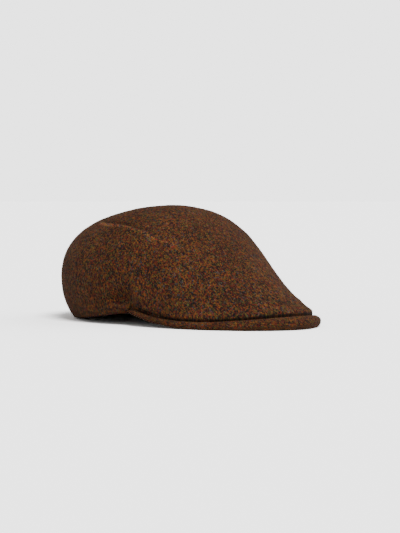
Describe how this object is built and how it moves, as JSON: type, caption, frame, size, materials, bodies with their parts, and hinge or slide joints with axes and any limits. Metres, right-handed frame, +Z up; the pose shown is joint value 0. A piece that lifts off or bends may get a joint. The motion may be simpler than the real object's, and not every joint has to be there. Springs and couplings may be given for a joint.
{
  "type": "duckbill cap",
  "caption": "Brown tweed duckbill cap: a soft hollow crown swept forward over a stiff curved peak with a rolled edge, and a satin sweatband.",
  "frame": {"origin": "centre of the cap's outline, on the surface that it rests on", "axes": "+Z up, -Y towards the tip of the peak, +X across the cap"},
  "size_m": [0.1918, 0.2968, 0.1082],
  "materials": {
    "brown_tweed": "brown wool tweed with rust, mustard and navy flecks",
    "peak_tweed": "brown wool tweed over a stiff board",
    "edge_tweed": "brown wool tweed, rolled",
    "brown_satin": "brown satin"
  },
  "bodies": {
    "root": {"crown": "brown_tweed", "peak": "peak_tweed", "peak_edge": "edge_tweed", "sweatband": "brown_satin"}
  },
  "joints": []
}
